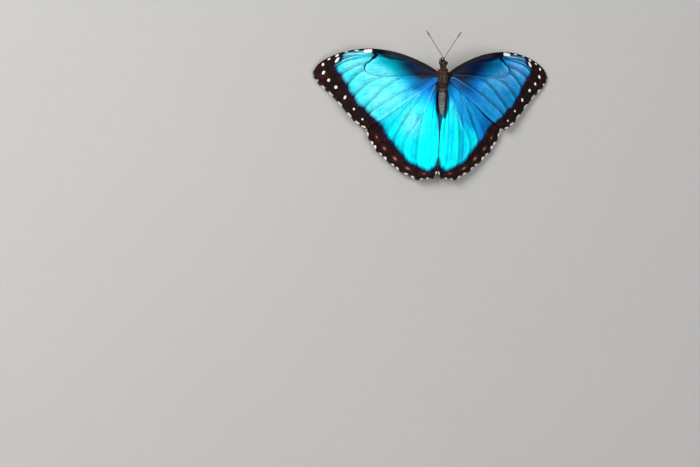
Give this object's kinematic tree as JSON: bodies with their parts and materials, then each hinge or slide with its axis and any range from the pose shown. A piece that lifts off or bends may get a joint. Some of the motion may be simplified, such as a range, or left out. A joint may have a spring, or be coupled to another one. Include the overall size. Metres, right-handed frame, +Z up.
{
  "type": "blue morpho butterfly",
  "caption": "Life-size blue morpho butterfly standing with open wings: iridescent blue, dark brown borders with white and red dots, hairy brown body, slender clubbed antennae.",
  "frame": {"origin": "centre of the bounding box in plan, at the level of the feet", "axes": "+X across the wings towards the animal's right, +Y towards the head, +Z up"},
  "size_m": [0.126, 0.0716, 0.0151],
  "materials": {
    "wing_scales": "iridescent blue scales above with a dark brown border, white and red dots and pale fringe marks; brown with ringed eyespots below",
    "brown_hair": "dark brown hair over horn",
    "grey_hair": "short grey-brown hair in soft rings",
    "dark_horn": "near-black horn with fine scales",
    "eye": "glossy black-brown compound eye"
  },
  "bodies": {
    "root": {"head": "brown_hair", "thorax": "brown_hair", "abdomen": "grey_hair", "proboscis": "dark_horn", "eye_right": "eye", "eye_left": "eye", "palp_right": "brown_hair", "palp_left": "brown_hair", "antenna_right": "dark_horn", "antenna_left": "dark_horn", "forewing_right": "wing_scales", "forewing_left": "wing_scales", "hindwing_right": "wing_scales", "hindwing_left": "wing_scales", "foreleg_right": "brown_hair", "foreleg_left": "brown_hair", "midleg_right": "dark_horn", "midleg_left": "dark_horn", "hindleg_right": "dark_horn", "hindleg_left": "dark_horn"}
  },
  "joints": []
}
